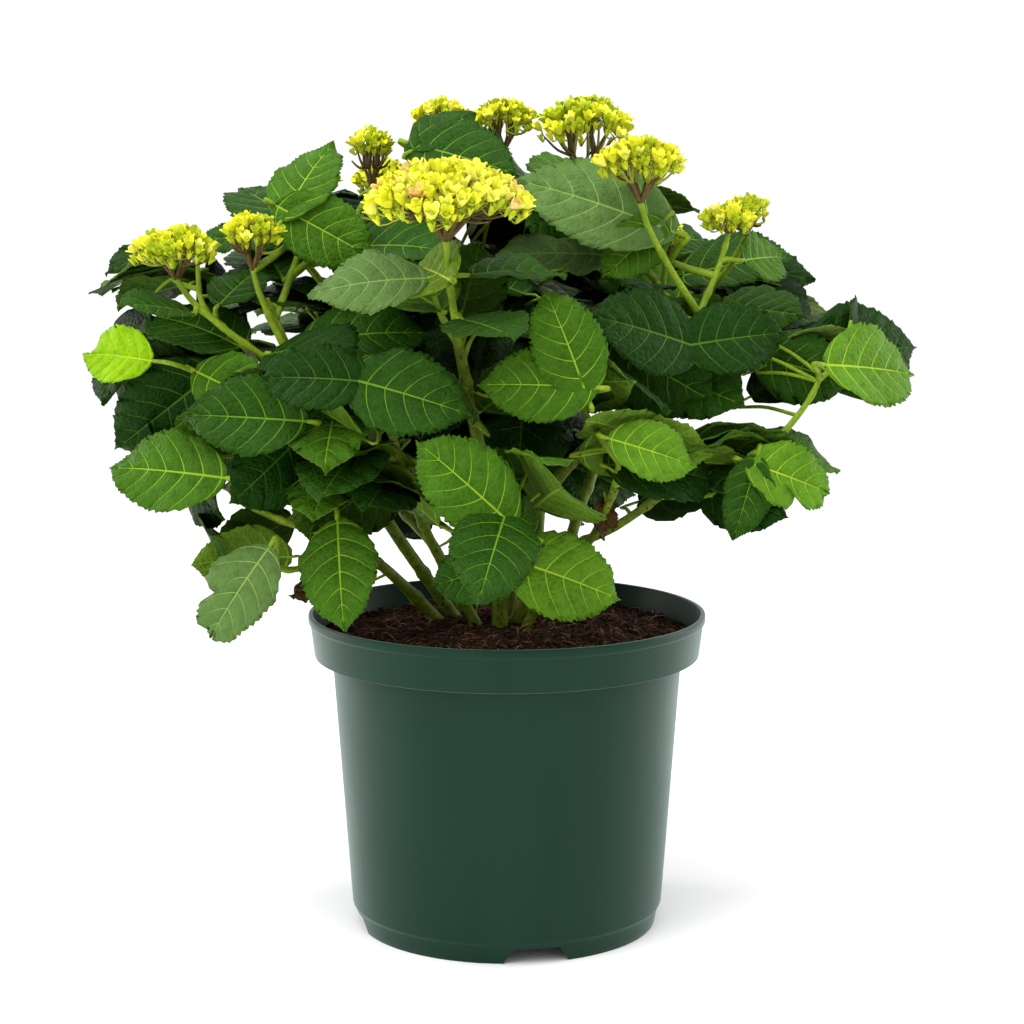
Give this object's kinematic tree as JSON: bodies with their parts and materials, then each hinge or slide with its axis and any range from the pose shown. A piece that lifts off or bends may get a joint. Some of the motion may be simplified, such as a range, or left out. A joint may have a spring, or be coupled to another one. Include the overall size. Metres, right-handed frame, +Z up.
{
  "type": "hydrangea shrub",
  "caption": "Leafy hydrangea shrub with budding yellow-green flower heads on arching canes, standing in a round green nursery pot full of bark compost.",
  "frame": {"origin": "middle of the pot's foot at ground level, under the pot's own axis", "axes": "+Z up along the pot's axis; -Y towards the front of the shrub; +X to the viewer's right"},
  "size_m": [0.6, 0.4583, 0.584],
  "materials": {
    "pot": "satin dark green moulded plastic",
    "soil": "dark damp bark compost, loose and rough",
    "cane": "yellow-green young bark with dark specks",
    "foliage": "deep green leaves, finely puckered, with paler veins",
    "flower_head": "yellow-green buds and sepals with a little pink"
  },
  "bodies": {
    "root": {"pot": "pot", "soil": "soil", "cane_centre": "cane", "cane_tall": "cane", "cane_right": "cane", "cane_right_low": "cane", "cane_left": "cane", "cane_left_low": "cane", "cane_front_left": "cane", "cane_front_right": "cane", "cane_back_left": "cane", "cane_back": "cane", "cane_back_right": "cane", "foliage_core": "foliage", "foliage_front_upper": "foliage", "foliage_front_left": "foliage", "foliage_front_right": "foliage", "foliage_front_low": "foliage", "foliage_front_skirt": "foliage", "foliage_left_skirt": "foliage", "foliage_left_inner": "foliage", "foliage_left_middle": "foliage", "foliage_left_low": "foliage", "foliage_left_hanging": "foliage", "foliage_left_upper": "foliage", "foliage_left_top": "foliage", "foliage_top": "foliage", "foliage_right_top": "foliage", "foliage_right_upper": "foliage", "foliage_right_middle": "foliage", "foliage_right_far": "foliage", "foliage_right_low": "foliage", "foliage_right_front": "foliage", "foliage_back_left_low": "foliage", "foliage_back_low": "foliage", "foliage_back_left": "foliage", "foliage_back_left_top": "foliage", "foliage_back": "foliage", "foliage_back_top": "foliage", "foliage_back_right": "foliage", "head_front": "flower_head", "head_left_outer": "flower_head", "head_left_inner": "flower_head", "head_left_back": "flower_head", "head_upper_left": "flower_head", "head_top_left": "flower_head", "head_top": "flower_head", "head_top_right": "flower_head", "head_right_centre": "flower_head", "head_right_outer": "flower_head", "head_right_back": "flower_head", "head_right_inner": "flower_head", "head_back_left": "flower_head", "head_back_right": "flower_head"}
  },
  "joints": []
}
